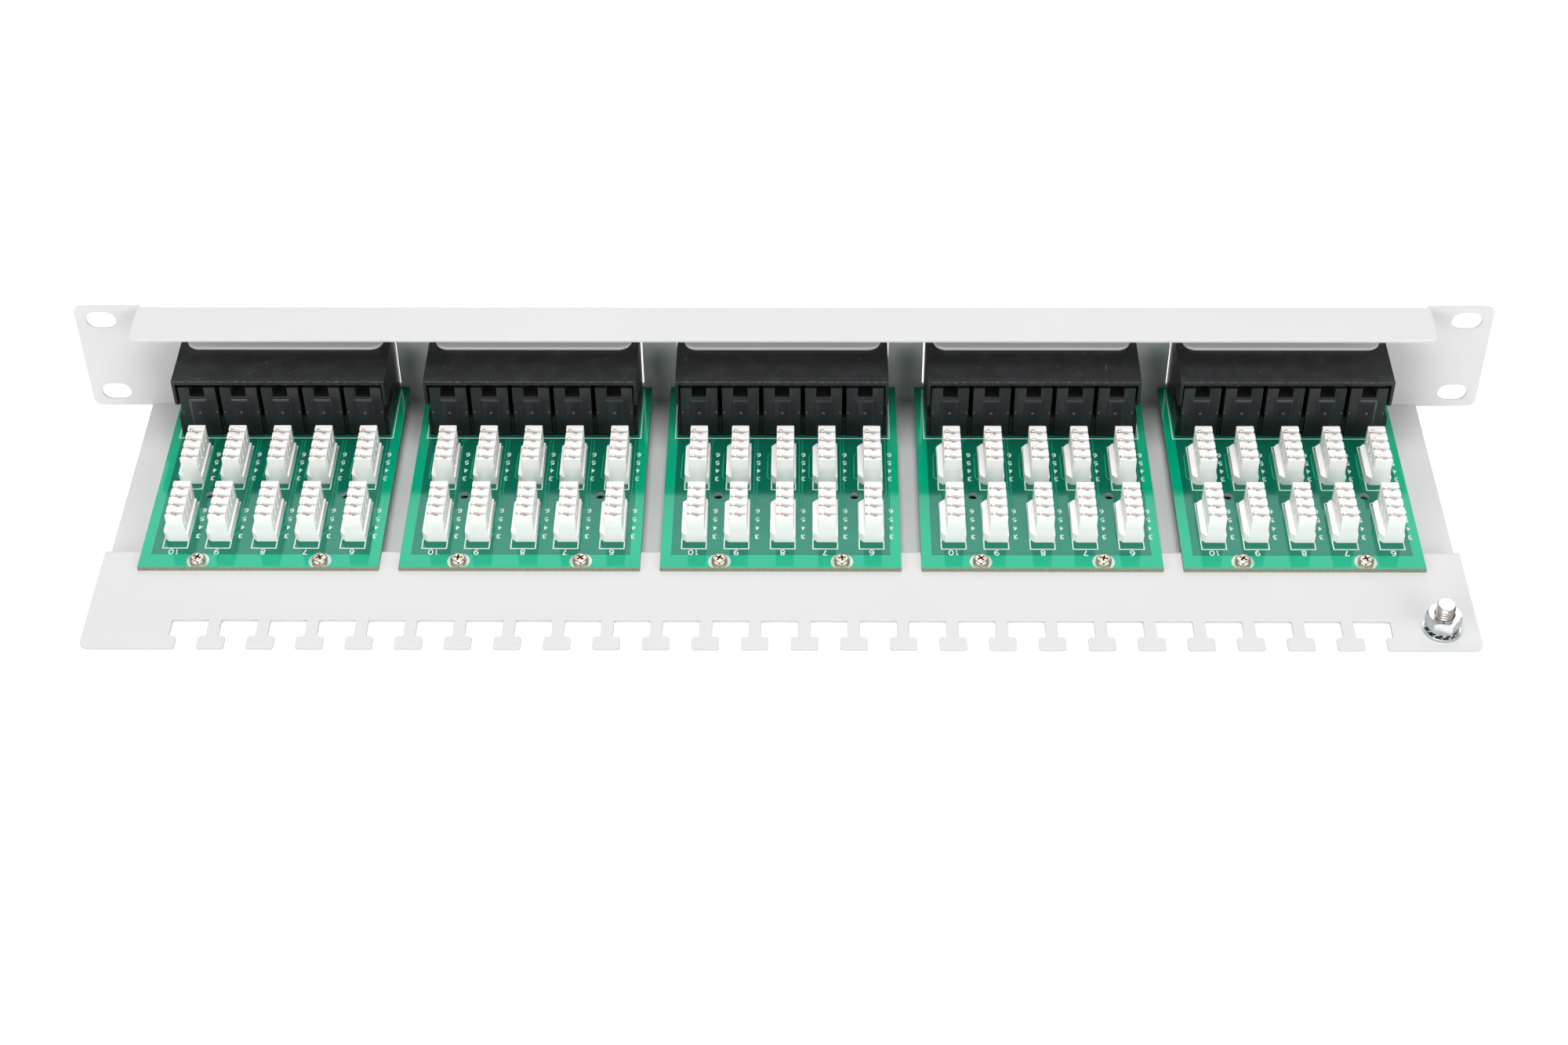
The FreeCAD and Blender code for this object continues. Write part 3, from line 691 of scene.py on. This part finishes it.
# the short track and the pair lie beside a block, with X counted from its middle
trackLook = {"width": 0.42, "height": 0.02,
             "short": [(5.2, 34.6), (5.9, 35.9), (6.0, 46.8), (4.7, 48.1)],
             "pair": [[(-4.65, 27.8), (-4.65, 70.5), (-3.6, 71.5)],
                      [(-5.65, 27.8), (-5.65, 73.3), (-3.6, 75.5)]],
             "single": [[(21.9, 26.8), (23.7, 29.6), (24.0, 53.0), (23.8, 73.8), (24.3, 74.2)],
                        [(23.0, 26.9), (24.3, 29.0)]]}


def copperTracks():
    routes = []
    for index, x in enumerate(blockPlaces):
        beside = [trackLook["short"]] + (trackLook["pair"] if index else [])
        routes += [[(x + across, y) for across, y in route] for route in beside]
    routes += trackLook["single"]
    tracks = flatStrips("tracks", routes, trackLook["width"], trackLook["height"])
    copyToModules(tracks, "copper_tracks", copper, "green_board")


legendLook = {"inkWidth": 0.4, "inkHeight": 0.045, "outlineX": 36.35, "outlineY": 27.2, "outlineStart": 1,
              "boxLeft": 4.6, "boxRight": -3.4, "upperBox": (31.4, 53.0), "lowerBox": (59.4, 81.5),
              "contacts": "6543", "digitX": -6.0, "upperDigits": (35.6, 47.6), "lowerDigits": (63.4, 75.7),
              "digitHeight": 1.75, "digitFlat": 0.22, "digitMiddle": (0.3, 0.5),
              "ports": ["10", "9", "8", "7", "6"], "portY": 83.2, "portHeight": 2.2, "portPitch": 1.9}

# the printer's single strokes, in parts of a digit's height
digitStrokes = {
    "0": [[(0.3, 1), (0.1, 0.9), (0, 0.68), (0, 0.32), (0.1, 0.1), (0.3, 0), (0.5, 0.1), (0.6, 0.32),
           (0.6, 0.68), (0.5, 0.9), (0.3, 1)]],
    "1": [[(0.12, 0.8), (0.35, 1), (0.35, 0)]],
    "3": [[(0.02, 0.85), (0.15, 0.97), (0.32, 1), (0.5, 0.93), (0.56, 0.76), (0.47, 0.6), (0.25, 0.53)],
          [(0.25, 0.53), (0.5, 0.46), (0.6, 0.27), (0.52, 0.08), (0.3, 0), (0.12, 0.04), (0, 0.17)]],
    "4": [[(0.44, 0), (0.44, 1)], [(0.44, 1), (0, 0.33)], [(0, 0.33), (0.64, 0.33)]],
    "5": [[(0.56, 1), (0.08, 1)], [(0.08, 1), (0.03, 0.54)],
          [(0.03, 0.54), (0.27, 0.65), (0.5, 0.57), (0.6, 0.33), (0.5, 0.09), (0.28, 0), (0.1, 0.04),
           (0, 0.17)]],
    "6": [[(0.54, 0.9), (0.32, 1), (0.1, 0.86), (0, 0.58), (0, 0.3), (0.1, 0.08), (0.3, 0), (0.5, 0.08),
           (0.6, 0.3), (0.5, 0.52), (0.3, 0.6), (0.1, 0.52), (0, 0.3)]],
    "7": [[(0, 1), (0.6, 1)], [(0.6, 1), (0.2, 0)]],
    "8": [[(0.3, 0.54), (0.1, 0.64), (0.04, 0.79), (0.12, 0.94), (0.3, 1), (0.48, 0.94), (0.56, 0.79),
           (0.5, 0.64), (0.3, 0.54)],
          [(0.3, 0.54), (0.08, 0.44), (0, 0.25), (0.1, 0.06), (0.3, 0), (0.5, 0.06), (0.6, 0.25),
           (0.52, 0.44), (0.3, 0.54)]],
    "9": [[(0.06, 0.1), (0.28, 0), (0.5, 0.14), (0.6, 0.42), (0.6, 0.7), (0.5, 0.92), (0.3, 1),
           (0.1, 0.92), (0, 0.7), (0.1, 0.48), (0.3, 0.4), (0.5, 0.48), (0.6, 0.7)]]}


def digitRoutes(digit, height, x, y):
    middle, centre = legendLook["digitMiddle"]
    return [[(x + (across - middle) * height, y + (up - centre) * height, 0) for across, up in stroke]
            for stroke in digitStrokes[digit]]


def boardLegend():
    side = legendLook["outlineX"]
    rear = legendLook["outlineY"]
    start = legendLook["outlineStart"]
    routes = [[(-side, start), (-side, rear), (side, rear), (side, start)]]
    digits = []
    for port, x in zip(legendLook["ports"], blockPlaces):
        left = x + legendLook["boxLeft"]
        right = x + legendLook["boxRight"]
        for row in ("upper", "lower"):
            front, end = legendLook[row + "Box"]
            routes.append([(left, front), (left, end), (right, end), (right, front), (left, front)])
            first, last = legendLook[row + "Digits"]
            step = (last - first) / (len(legendLook["contacts"]) - 1)
            for index, digit in enumerate(legendLook["contacts"]):
                digits += digitRoutes(digit, legendLook["digitHeight"], x + legendLook["digitX"],
                                      first + step * index)
        for index, digit in enumerate(port):
            portX = (left + right) / 2 + (index - (len(port) - 1) / 2) * legendLook["portPitch"]
            digits += digitRoutes(digit, legendLook["portHeight"], portX, legendLook["portY"])
    strokes = wireMesh("digits", digits, legendLook["inkWidth"] / 2, 0)
    strokes.scale.z = legendLook["digitFlat"]
    strokes.location.z = boardTop * mm
    placeInMesh(strokes)
    smoothShading(strokes, 80)
    lines = flatStrips("lines", routes, legendLook["inkWidth"], legendLook["inkHeight"])
    legend = joined([lines, strokes], "legend")
    copyToModules(legend, "board_legend", ink, "white_moulding")


circuitBoards()
copperTracks()
boardLegend()
print("boards made")


# Board screws on tinned pads

screwLook = {"x": 19.8, "y": 87.4, "pad": 3.65, "padHeight": 0.04, "padInset": 0.1,
             "head": 2.6, "headHeight": 1.9, "headRound": 1.15, "softEdge": 0.08,
             "recess": 3.3, "blade": 0.72, "recessDepth": 1.35, "taper": 0.55,
             "shadeReach": 1.1, "shadeDrop": 0.15, "shank": 1.45, "shankEnd": 4.6, "shankSoft": 0.3,
             "turns": [18, 52, 74, 33, 8, 61, 41, 85, 27, 66]}


def boardScrews():
    low = boardTop + screwLook["padHeight"]
    top = low + screwLook["headHeight"]
    screw = addRound("screw", screwLook["head"], low, top, sides=40)
    pickEdges(screw, lambda a, b: same(a.z, top) and same(b.z, top))
    bevelPicked(screwLook["headRound"], 5)
    half = screwLook["recess"] / 2
    thin = screwLook["blade"] / 2
    floor = top - screwLook["recessDepth"]
    taper = (screwLook["taper"], screwLook["taper"], 1)
    for across, along in ((half, thin), (thin, half)):
        tool = addBlock("recess", (-across, -along, floor), (across, along, top + overshoot))
        pickFaces(tool, lambda centre, normal: normal.z < -squarely)
        bpy.ops.transform.resize(value=taper, center_override=Vector((0, 0, floor)) * mm)
        bpy.ops.object.mode_set(mode="OBJECT")
        cutWith(screw, tool)
    softEdges(screw, screwLook["softEdge"])
    screw.data.materials.append(nickel)
    screw.data.materials.append(recessShade)
    # faces inside the cross recess take the dark brown nickel as painted shade
    reach = screwLook["shadeReach"] * half * mm
    below = (top - screwLook["shadeDrop"]) * mm
    for face in screw.data.polygons:
        inside = face.center.xy.length < reach and low * mm < face.center.z < below
        face.material_index = 1 if inside else 0
    shank = addRound("shank", screwLook["shank"], boardTop - screwLook["shankEnd"], low, sides=24)
    softEdges(shank, screwLook["shankSoft"])
    shank.data.materials.append(nickel)
    screw = joined([screw, shank], "screw")
    pad = addRound("pad", screwLook["pad"], boardTop, low, sides=48)
    bpy.ops.object.mode_set(mode="EDIT")
    bpy.ops.mesh.select_all(action="SELECT")
    # the pad ends just short of the board's rear edge
    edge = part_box("circuit_board_3")[1].y - (screwLook["y"] + screwLook["padInset"]) * mm
    bpy.ops.mesh.bisect(plane_co=(0, edge, 0), plane_no=(0, 1, 0), use_fill=True, clear_outer=True)
    bpy.ops.object.mode_set(mode="OBJECT")
    turns = iter(screwLook["turns"])
    for number, x in modules.items():
        screws = []
        for side in (-1, 1):
            turned = copyTo(screw, "screw")
            turned.data.transform(Matrix.Rotation(math.radians(next(turns)), 4, "Z"))
            screws.append(copyTo(turned, "screw", x + side * screwLook["x"], screwLook["y"]))
            drop(turned)
        settle(joined(screws, f"board_screws_{number}"), nickel, "zinc_steel")
        pads = [copyTo(pad, "pad", x + side * screwLook["x"], screwLook["y"]) for side in (-1, 1)]
        settle(joined(pads, f"screw_pads_{number}"), tin, "zinc_steel")
    drop(screw)
    drop(pad)


boardScrews()
print("screws made")


# White terminal blocks

blockLook = {"halfSpan": 6, "footRound": 0.6, "footDrop": 6, "softEdge": 0.12, "crownRest": 0.05,
             "landProud": 0.005, "landSunk": 0.6, "topRound": 0.28,
             "notchX": -0.45, "notch": 1.15, "notchTip": 0.15, "notchDepth": 0.95, "notchIn": 0.25,
             "notchLift": 0.05}

forkLook = {"x": 1.6, "width": 1.1, "gap": 0.1, "rear": 0.72, "front": 1.3, "drop": 0.1, "foot": 4.9,
            "edge": 0.15, "softEdge": 0.1, "pocket": 0.02}


def cutNotch(land, x, y, top):
    bpy.ops.object.select_all(action="DESELECT")
    place = Vector((x, y, top - blockLook["notchDepth"] / 2 + blockLook["notchLift"])) * mm
    bpy.ops.mesh.primitive_cone_add(vertices=12, radius1=blockLook["notchTip"] * mm,
                                    radius2=blockLook["notch"] * mm, depth=blockLook["notchDepth"] * mm,
                                    location=place)
    tool = freshObject("notch")
    placeInMesh(tool)
    cutWith(land, tool)


def terminalBlocks():
    node = f"idc_blocks_upper_{modelModule}"
    block = nodeCopy(node, "block")
    centre = blockPlaces[2]
    pickFaces(block, lambda middle, normal: abs(middle.x - centre) > blockLook["halfSpan"])
    bpy.ops.mesh.delete(type="FACE")
    bpy.ops.object.mode_set(mode="OBJECT")
    low, high = boxOf(node)
    points = [vertex.co / mm for vertex in block.data.vertices]
    crown = [point for point in points if same(point.z, high.z)]
    left = min(point.x for point in crown)
    right = max(point.x for point in crown)
    walls = sorted({round(point.y, 2) for point in crown})
    cuts = list(zip(walls[1:-1:2], walls[2:-1:2]))
    slotFloor = max(face.center.z / mm for face in block.data.polygons
                    if face.normal.z > squarely and cuts[0][0] < face.center.y / mm < cuts[0][1])
    pickEdges(block, lambda a, b: isUpright(a, b) and max(a.z, b.z) < high.z - blockLook["footDrop"])
    bevelPicked(blockLook["footRound"], 3)
    # the solid's lands are pressed down, and rounded ones stand in their place
    pickFaces(block, lambda middle, normal: normal.z > squarely and middle.z > high.z - touch)
    bpy.ops.transform.translate(value=(0, 0, (slotFloor + blockLook["crownRest"] - high.z) * mm))
    bpy.ops.object.mode_set(mode="OBJECT")
    softEdges(block, blockLook["softEdge"], 2, 40)
    forkX = centre + forkLook["x"]
    half = forkLook["width"] / 2
    room = forkLook["pocket"]
    proud = blockLook["landProud"]
    lands = []
    for index, (far, near) in enumerate(zip(walls[0::2], walls[1::2])):
        land = addBlock("land", (left - proud, far - proud, slotFloor - blockLook["landSunk"]),
                        (right + proud, near + proud, high.z))
        softEdges(land, blockLook["topRound"], 3)
        if index:
            cutNotch(land, centre + blockLook["notchX"], far + blockLook["notchIn"], high.z)
        for first, last in cuts:
            middle = (first + last) / 2
            if same(first, near) or same(last, far):
                pocketLow = (forkX - half - room, middle - forkLook["front"] - room, slotFloor - overshoot)
                pocketHigh = (forkX + half + room, middle + forkLook["rear"] + room, high.z + overshoot)
                cutWith(land, addBlock("pocket", pocketLow, pocketHigh))
        smoothShading(land)
        lands.append(land)
    block = joined([block] + lands, "block")
    forks = []
    foot = high.z - forkLook["foot"]
    top = high.z - forkLook["drop"]
    for first, last in cuts:
        middle = (first + last) / 2
        for inner, outer in ((middle - forkLook["gap"], middle - forkLook["front"]),
                             (middle + forkLook["gap"], middle + forkLook["rear"])):
            fork = addBlock("fork", (forkX - half, min(inner, outer), foot),
                            (forkX + half, max(inner, outer), top))
            pickEdges(fork, lambda a, b: same(a.z, top) and same(b.z, top)
                      and same(a.y, inner) and same(b.y, inner))
            bevelPicked(forkLook["edge"], 1)
            softEdges(fork, forkLook["softEdge"], 1)
            forks.append(fork)
    forks = joined(forks, "forks")
    for row in ("upper", "lower"):
        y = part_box(f"idc_blocks_{row}_{modelModule}")[0].y / mm - low.y
        blockRow = joined([copyTo(block, "block", x - centre, y) for x in blockPlaces], "row")
        forkRow = joined([copyTo(forks, "forks", x - centre, y) for x in blockPlaces], "row")
        copyToModules(blockRow, f"blocks_{row}", white, "white_moulding", f"idc_blocks_{row}")
        copyToModules(forkRow, f"forks_{row}", bronze, "zinc_steel")
    drop(block)
    drop(forks)


terminalBlocks()
print("terminal blocks made")


# Earthing point

studLow, studHigh = boxOf("earth_stud")
earthX = (studLow.x + studHigh.x) / 2
earthY = (studLow.y + studHigh.y) / 2
nutLow, nutHigh = boxOf("earth_nut")

studLook = {"root": 2.42, "rootDrop": 0.2, "rootSoft": 0.1, "tip": 0.4, "tipSize": 2.68, "tipSoft": 0.16,
            "sheetGauge": 1.25, "headSoft": 0.25, "pitch": 1.0, "crest": 2.98, "crestLow": 0.42,
            "crestHigh": 0.58, "threadSunk": 0.1, "threadLead": 0.8, "threadSteps": 36}


def studThread():
    shoulder = studHigh.z - studLook["tip"]
    turns = int((shoulder - nutLow.z) / studLook["pitch"])
    start = shoulder - (turns + studLook["threadLead"]) * studLook["pitch"]
    sunk = studLook["root"] - studLook["threadSunk"]
    bpy.ops.object.select_all(action="DESELECT")
    bpy.ops.mesh.primitive_plane_add(size=1)
    thread = freshObject("thread")
    corners = [(sunk, start), (studLook["crest"], start + studLook["crestLow"]),
               (sunk, start + studLook["pitch"]), (studLook["crest"], start + studLook["crestHigh"])]
    for vertex, (radius, z) in zip(thread.data.vertices, corners):
        vertex.co = Vector((radius, 0, z)) * mm
    pickFaces(thread, lambda centre, normal: True)
    bpy.ops.mesh.delete(type="ONLY_FACE")
    bpy.ops.object.mode_set(mode="OBJECT")
    winding = thread.modifiers.new("winding", "SCREW")
    winding.axis = "Z"
    winding.screw_offset = studLook["pitch"] * mm
    winding.iterations = turns
    winding.steps = studLook["threadSteps"]
    winding.render_steps = studLook["threadSteps"]
    bpy.ops.object.modifier_apply(modifier=winding.name)
    thread.location = Vector((earthX, earthY, 0)) * mm
    placeInMesh(thread)
    bpy.ops.object.mode_set(mode="EDIT")
    bpy.ops.mesh.select_all(action="SELECT")
    bpy.ops.mesh.remove_doubles(threshold=weld * mm)
    bpy.ops.mesh.fill_holes(sides=4)
    bpy.ops.mesh.normals_make_consistent(inside=False)
    bpy.ops.object.mode_set(mode="OBJECT")
    smoothShading(thread, 30)
    return thread


def threadedStud():
    coreTop = studHigh.z - studLook["rootDrop"]
    core = addRound("stud", studLook["root"], studLow.z, coreTop, earthX, earthY, 40)
    tip = addRound("tip", studLook["tipSize"], studHigh.z - studLook["tip"], studHigh.z, earthX, earthY, 40)
    softEdges(tip, studLook["tipSoft"], 3)
    under = stripTop - studLook["sheetGauge"]
    head = addRound("head", (studHigh.x - studLow.x) / 2, studLow.z, under, earthX, earthY, 48)
    softEdges(core, studLook["rootSoft"])
    softEdges(head, studLook["headSoft"])
    thread = studThread()
    thread.data.materials.append(threadTintZinc)
    for part in (core, tip, head):
        part.data.materials.append(zinc)
    stud = joined([core, tip, head, thread], "threaded_stud")
    settle(stud, threadTintZinc, "zinc_steel", "earth_stud")


nutLook = {"turn": 18, "chamfer": 0.75, "boreRoom": 0.02, "countersink": 0.4, "softEdge": 0.1}


def hexNut():
    radius = (nutHigh.x - nutLow.x) / 2
    hexagon = addRound("hex_nut", radius, nutLow.z, nutHigh.z, earthX, earthY, 6)
    hexagon.data.transform(Matrix.Translation(Vector((earthX, earthY, 0)) * mm)
                           @ Matrix.Rotation(math.radians(nutLook["turn"]), 4, "Z")
                           @ Matrix.Translation(Vector((-earthX, -earthY, 0)) * mm))
    turned = addRound("turned", radius, nutLow.z, nutHigh.z, earthX, earthY, 64)
    pickEdges(turned, lambda a, b: same(a.z, b.z))
    bevelPicked(nutLook["chamfer"], 1)
    cutWith(hexagon, turned, "INTERSECT")
    bore = studLook["crest"] + nutLook["boreRoom"]
    cutWith(hexagon, addRound("bore", bore, nutLow.z - overshoot, nutHigh.z + overshoot, earthX, earthY, 40))

    def onBore(point):
        return same(point.z, nutHigh.z) and math.hypot(point.x - earthX, point.y - earthY) < bore + loose

    pickEdges(hexagon, lambda a, b: onBore(a) and onBore(b))
    bevelPicked(nutLook["countersink"], 1)
    softEdges(hexagon, nutLook["softEdge"])
    settle(hexagon, zinc, "zinc_steel", "earth_nut")


toothLook = {"bore": 3.2, "ringInset": 1.5, "ringThin": 0.15, "ringSoft": 0.08, "count": 13, "twist": 40,
             "width": 1.9, "gauge": 0.5, "length": 2.0, "tipInset": 0.05, "softEdge": 0.1}


def toothedWasher():
    low, high = boxOf("earth_tooth_washer")
    outer = (high.y - low.y) / 2
    half = toothLook["width"] / 2
    thin = toothLook["gauge"] / 2
    ring = addRound("ring", outer - toothLook["ringInset"], low.z + toothLook["ringThin"],
                    high.z - toothLook["ringThin"], earthX, earthY, 48)
    bore = addRound("bore", toothLook["bore"], low.z - overshoot, high.z + overshoot, earthX, earthY, 40)
    cutWith(ring, bore)
    softEdges(ring, toothLook["ringSoft"])
    pieces = [ring]
    for index in range(toothLook["count"]):
        tooth = addBlock("tooth", (outer - toothLook["length"], -half, -thin),
                         (outer - toothLook["tipInset"], half, thin))
        tooth.rotation_euler.x = math.radians(toothLook["twist"])
        placeInMesh(tooth)
        softEdges(tooth, toothLook["softEdge"])
        tooth.rotation_euler.z = 2 * math.pi * index / toothLook["count"]
        tooth.location = Vector((earthX, earthY, (low.z + high.z) / 2)) * mm
        placeInMesh(tooth)
        pieces.append(tooth)
    settle(joined(pieces, "toothed_washer"), zinc, "zinc_steel", "earth_tooth_washer")


washerLook = {"softEdge": 0.18}


def flatWasher():
    flat = nodeCopy("earth_flat_washer", "flat_washer")
    softEdges(flat, washerLook["softEdge"])
    settle(flat, zinc, "zinc_steel", "earth_flat_washer")


threadedStud()
hexNut()
toothedWasher()
flatWasher()
print("earthing point made")


# Floor, light and camera

stageLook = {"floorSize": 6.0, "floor": "#F4F4F4", "white": "#FFFFFF", "glow": 0.72, "floorDrop": 0.1,
             "roomSide": 0.15, "roomTurn": (-0.1, 0.5), "roomEnds": 0.3, "endsTurn": (0.45, 0.8)}


def whiteRays(tree):
    # 1 for what the camera, a mirror or a clear piece sees, 0 for light that falls on the panel
    rays = addNode(tree, "LightPath", {})
    seen = combine(tree, "MAXIMUM", rays.outputs["Is Camera Ray"], rays.outputs["Is Transmission Ray"])
    return seen, rays.outputs["Is Glossy Ray"]


def studio():
    # mirrors see a white wall behind the panel, a dim room in front of it and at its ends
    world = bpy.data.worlds.new("studio")
    world.use_nodes = True
    bpy.context.scene.world = world
    tree = world.node_tree
    background = tree.nodes["Background"]
    seen, mirrored = whiteRays(tree)
    way = addNode(tree, "SeparateXYZ", {}, {0: addNode(tree, "TexCoord", {}).outputs["Generated"]})
    room = ramp(tree, way.outputs[1], *stageLook["roomTurn"], 1.0, stageLook["roomSide"])
    across = addNode(tree, "Math", {"operation": "ABSOLUTE"}, {0: way.outputs[0]})
    ends = ramp(tree, across.outputs[0], *stageLook["endsTurn"], 1.0, stageLook["roomEnds"])
    mirror = combine(tree, "MULTIPLY", combine(tree, "MINIMUM", room, ends), mirrored)
    background.inputs["Color"].default_value = linear(stageLook["white"])
    tree.links.new(combine(tree, "MAXIMUM", seen, mirror), background.inputs["Strength"])

    bpy.ops.object.select_all(action="DESELECT")
    level = cadBox[0][2] - stageLook["floorDrop"] * mm
    bpy.ops.mesh.primitive_plane_add(size=stageLook["floorSize"], location=(0, 0, level))
    floor = freshObject("floor")
    placeInMesh(floor)
    # matt white paper that shows as plain white and throws no glow on the panel
    paper, tree, shader, coords = newMaterial("white paper", {
        "Base Color": linear(stageLook["floor"]), "Roughness": 0.9,
        "Emission Color": linear(stageLook["white"])})
    glow = ramp(tree, combine(tree, "MAXIMUM", *whiteRays(tree)), 0.0, 1.0, 0.0, stageLook["glow"])
    tree.links.new(glow, shader.inputs["Emission Strength"])
    floor.data.materials.append(paper)


lamps = {"above": {"place": (0.0, 0.2, 1.6), "size": (0.7, 1.0), "power": 18.5},
         "behind": {"place": (0.0, -1.5, 1.5), "size": (2.2, 1.0), "power": 7.8},
         "socketSide": {"place": (0.0, -1.6, 0.3), "size": (2.2, 0.6), "power": 6.0},
         "leftSide": {"place": (1.2, 0.8, 0.6), "size": (0.9, 0.9), "power": 4.8},
         "rightSide": {"place": (-1.2, 0.8, 0.6), "size": (0.9, 0.9), "power": 4.8},
         "leftFront": {"place": (0.8, 1.5, 0.6), "size": (0.8, 0.8), "power": 8.8},
         "rightFront": {"place": (-0.8, 1.5, 0.6), "size": (0.8, 0.8), "power": 8.8}}


def softLamps():
    for name, look in lamps.items():
        bpy.ops.object.select_all(action="DESELECT")
        bpy.ops.object.light_add(type="AREA", location=look["place"])
        lamp = freshObject(name)
        lamp.data.shape = "RECTANGLE"
        lamp.data.size, lamp.data.size_y = look["size"]
        lamp.data.energy = look["power"]
        lamp.rotation_euler = (-Vector(look["place"])).to_track_quat("-Z", "Y").to_euler()


cameraLook = {"place": (-0.0098, 0.7078, 0.5856), "turn": (47.97, 0.29, -179.58), "lens": 61.2,
              "sensor": 36, "shift": (-0.00225, -0.03335), "clipStart": 0.01}


def photoCamera():
    bpy.ops.object.select_all(action="DESELECT")
    turn = [math.radians(angle) for angle in cameraLook["turn"]]
    bpy.ops.object.camera_add(location=cameraLook["place"], rotation=turn)
    camera = freshObject("camera")
    camera.data.sensor_width = cameraLook["sensor"]
    camera.data.lens = cameraLook["lens"]
    camera.data.shift_x, camera.data.shift_y = cameraLook["shift"]
    camera.data.clip_start = cameraLook["clipStart"]
    bpy.context.scene.camera = camera


studio()
softLamps()
photoCamera()
bpy.context.scene.view_settings.view_transform = "Standard"
print("studio made")
